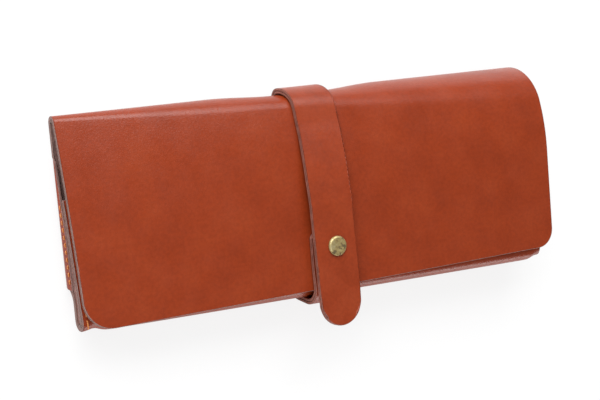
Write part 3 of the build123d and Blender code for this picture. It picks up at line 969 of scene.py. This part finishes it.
def strap_stitches():
    """Two rows across the strap, where it is sewn to the back."""
    places, ways, outs = [], [], []
    for y in STRAP_STITCH_ROWS:
        middle = STRAP_X + float(np.interp(y, BACK_HEIGHTS, BACK_DRIFT))
        for x in np.arange(-5.4, 5.5, STITCH_PITCH):
            places.append((middle + x, y, 0.0))
            ways.append((1, 0, 0))
            outs.append((0, 0, -1))
    stitches("strap_back_stitches", places, ways, outs, STITCH_LENGTH, STRAP_STITCH_WIDTH)


strap_stitches()

# Press stud

marks = [np.array((x, STUD_Y, flat_level(x, STUD_Y, 0.0)))
         for x in (STRAP_X - STRAP_WIDTH / 2, STRAP_X + STRAP_WIDTH / 2, STRAP_X)]
stud_x = unit(marks[1] - marks[0])
stud_z = unit(np.cross(stud_x, marks[2] - np.array((STRAP_X, 0.0, front_height(STRAP_X)))))
stud_axes = np.stack([stud_x, np.cross(stud_z, stud_x), stud_z], 1)
STUD_SHIFT = 0.2        # sideways from the solid's place, with the strap


def turned(name, profile, material, body):
    """A round piece on the stud's own axis, from (radius, height) points."""
    steps = 72
    points, faces = [], []
    for radius, height in profile:
        for k in range(steps):
            angle = 2 * math.pi * k / steps
            spot = np.array((radius * math.cos(angle), radius * math.sin(angle), height))
            points.append(marks[2] + stud_axes @ spot + np.array((STUD_SHIFT, 0, 0)))
    for ring in range(len(profile) - 1):
        for k in range(steps):
            after = (k + 1) % steps
            faces.append((ring * steps + k, ring * steps + after,
                          (ring + 1) * steps + after, (ring + 1) * steps + k))
    piece = make_mesh(name, points, faces, [0] * len(faces), [material])
    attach(piece, body)
    return piece


CAP_SEAT = STRAP_LIFT + STRAP
cap_profile = [(0.001, 0.84), (0.8, 0.85), (1.5, 0.91), (2.1, 1.0), (2.5, 0.99), (2.8, 0.86),
               (3.0, 0.66), (3.1, 0.42), (3.1, 0.28), (3.0, 0.12), (2.8, 0.02), (2.3, 0.0), (0.001, 0.0)]
cap = turned("stud_cap", [(r, h + CAP_SEAT) for r, h in cap_profile[::-1]], brass, "strap")
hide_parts("snap_cap")
for node in ("snap_socket", "snap_stud", "snap_post"):
    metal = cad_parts[node]
    metal.data.materials.clear()
    metal.data.materials.append(brass)

# Floor, light and camera

REACH, UNDER = 3.0, 0.0002      # half the floor's width, and how far it lies under the case
FLOOR_GLOW = 0.8                # share of plain white that the camera sees on the floor
WORLD_LIGHT, WORLD_IN_GLOSS = 0.44, 0.10

floor_mesh = bpy.data.meshes.new("floor")
floor_mesh.from_pydata([(-REACH, -REACH, 0), (REACH, -REACH, 0), (REACH, REACH, 0), (-REACH, REACH, 0)],
                       [], [(0, 1, 2, 3)])
floor = bpy.data.objects.new("floor", floor_mesh)
bpy.context.scene.collection.objects.link(floor)
floor.location.z = -UNDER
floor_material, tree, shader = principled("floor_white")
shader.inputs["Base Color"].default_value = (0.86, 0.86, 0.86, 1)
shader.inputs["Roughness"].default_value = 0.9
rays = add(tree, "ShaderNodeLightPath")
glow = add(tree, "ShaderNodeEmission")
glow.inputs["Color"].default_value = (1, 1, 1, 1)
glow.inputs["Strength"].default_value = 1.0
seen = add(tree, "ShaderNodeMixShader")
share = calc(tree, "MULTIPLY", rays.outputs["Is Camera Ray"], FLOOR_GLOW)
tree.links.new(share, seen.inputs[0])
tree.links.new(shader.outputs[0], seen.inputs[1])
tree.links.new(glow.outputs[0], seen.inputs[2])
tree.links.new(seen.outputs[0], tree.nodes["Material Output"].inputs["Surface"])
floor_mesh.materials.append(floor_material)

world = bpy.data.worlds.new("studio")
bpy.context.scene.world = world
world.use_nodes = True
tree = world.node_tree
plain = tree.nodes["Background"]
plain.inputs["Color"].default_value = (1.0, 1.0, 1.0, 1)
plain.inputs["Strength"].default_value = WORLD_LIGHT
dim = add(tree, "ShaderNodeBackground")
dim.inputs["Color"].default_value = (1.0, 1.0, 1.0, 1)
dim.inputs["Strength"].default_value = WORLD_IN_GLOSS
rays = add(tree, "ShaderNodeLightPath")
both = add(tree, "ShaderNodeMixShader")
tree.links.new(rays.outputs["Is Glossy Ray"], both.inputs[0])
tree.links.new(plain.outputs[0], both.inputs[1])
tree.links.new(dim.outputs[0], both.inputs[2])
tree.links.new(both.outputs[0], tree.nodes["World Output"].inputs["Surface"])


def softbox(name, place, target, width, height, watts):
    lamp = bpy.data.lights.new(name, "AREA")
    lamp.shape = "RECTANGLE"
    lamp.size, lamp.size_y = width, height
    lamp.energy = watts
    made = bpy.data.objects.new(name, lamp)
    bpy.context.scene.collection.objects.link(made)
    made.location = place
    made.rotation_euler = (Vector(target) - Vector(place)).to_track_quat("-Z", "Y").to_euler()


softbox("top_softbox", (-0.18, 0.72, 0.55), (0, 0, 0), 1.2, 0.60, 15.5)
softbox("fill_softbox", (-0.5, -0.5, 0.7), (0, 0, 0), 0.8, 0.8, 2.4)
softbox("low_softbox", (0.1, -0.8, 0.12), (0, 0, 0.01), 1.2, 0.22, 3.9)

CAMERA_YAW, CAMERA_PITCH, CAMERA_ROLL = [math.radians(turn) for turn in (27.1684, 6.7643, -5.0)]
CAMERA_OFFSET = (12.698, 26.5307, 407.998)
FOCAL_PIXELS, FRAME_PIXELS = 1300.0, 600.0
FACE_LEVEL = 15.2
CAMERA_TILT = math.atan2(8.8, 168.0)    # turn from the photographed face to the frame
cy, sy = math.cos(CAMERA_YAW), math.sin(CAMERA_YAW)
cp, sp = math.cos(CAMERA_PITCH), math.sin(CAMERA_PITCH)
cr, sr = math.cos(CAMERA_ROLL), math.sin(CAMERA_ROLL)
ct, st = math.cos(CAMERA_TILT), math.sin(CAMERA_TILT)
roll = np.array([[cr, -sr, 0], [sr, cr, 0], [0, 0, 1]])
pitch = np.array([[1, 0, 0], [0, cp, -sp], [0, sp, cp]])
yaw = np.array([[cy, 0, sy], [0, 1, 0], [-sy, 0, cy]])
look = roll @ np.diag([1.0, -1.0, -1.0]) @ pitch @ yaw
face = np.array([[ct, 0, -st], [0, 1, 0], [st, 0, ct]])
spot = face @ (-look.T @ np.array(CAMERA_OFFSET)) + np.array([0, -MIDDLE_Y, FACE_LEVEL])
axes = face @ np.stack([look[0], -look[1], -look[2]], 1)
lens = bpy.data.cameras.new("camera")
lens.sensor_fit = "HORIZONTAL"
lens.sensor_width = 36.0
lens.lens = 36.0 * FOCAL_PIXELS / FRAME_PIXELS
lens.clip_start, lens.clip_end = 0.01, 20
camera = bpy.data.objects.new("camera", lens)
bpy.context.scene.collection.objects.link(camera)
camera.matrix_world = Matrix.Translation(Vector(spot * MM)) @ Matrix(axes.tolist()).to_4x4()
bpy.context.scene.camera = camera
bpy.context.scene.view_settings.view_transform = "Standard"
